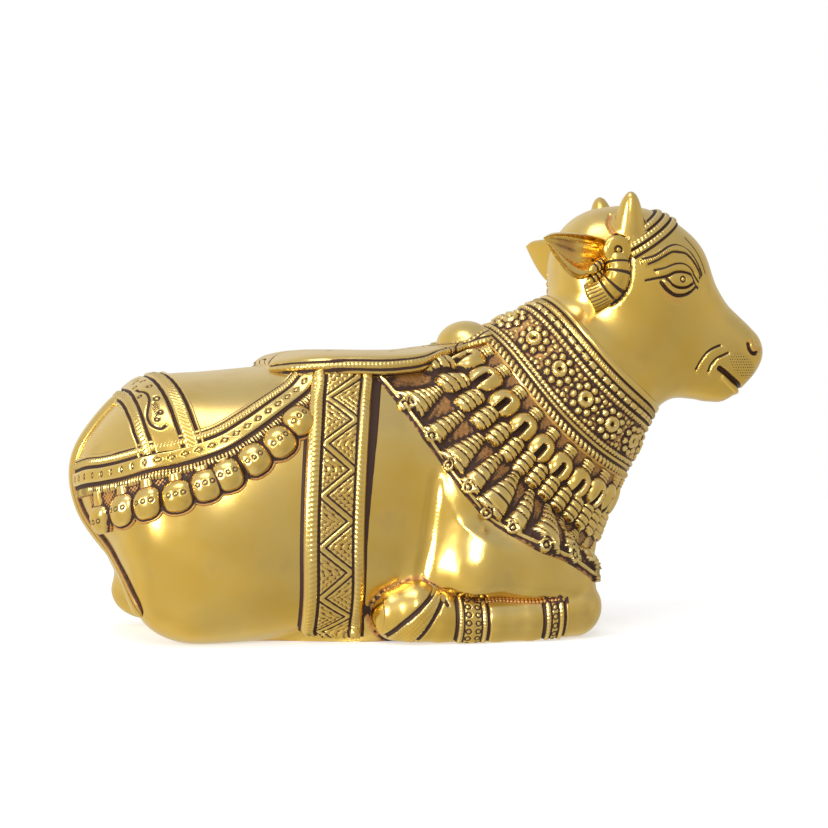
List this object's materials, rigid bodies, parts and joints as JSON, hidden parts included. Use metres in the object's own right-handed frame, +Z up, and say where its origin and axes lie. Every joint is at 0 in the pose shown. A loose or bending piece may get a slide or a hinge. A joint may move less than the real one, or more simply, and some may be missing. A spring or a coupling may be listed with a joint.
{
  "type": "nandi bull figure",
  "caption": "Reclining sacred bull cast in brass, with a tasselled blanket, girth strap, saddle pad, rosette collar and rows of bells in relief.",
  "frame": {"origin": "middle of the footprint, on the surface that the bull lies on", "axes": "+X along the body toward the head, +Z up, +Y toward the bull's left side"},
  "size_m": [0.2991, 0.1246, 0.1827],
  "materials": {
    "brass": "hand-polished golden brass, with dark brown patina left in the chased lines and orange-brown in the recesses"
  },
  "bodies": {
    "root": {"nandi_bull": "brass"}
  },
  "joints": []
}
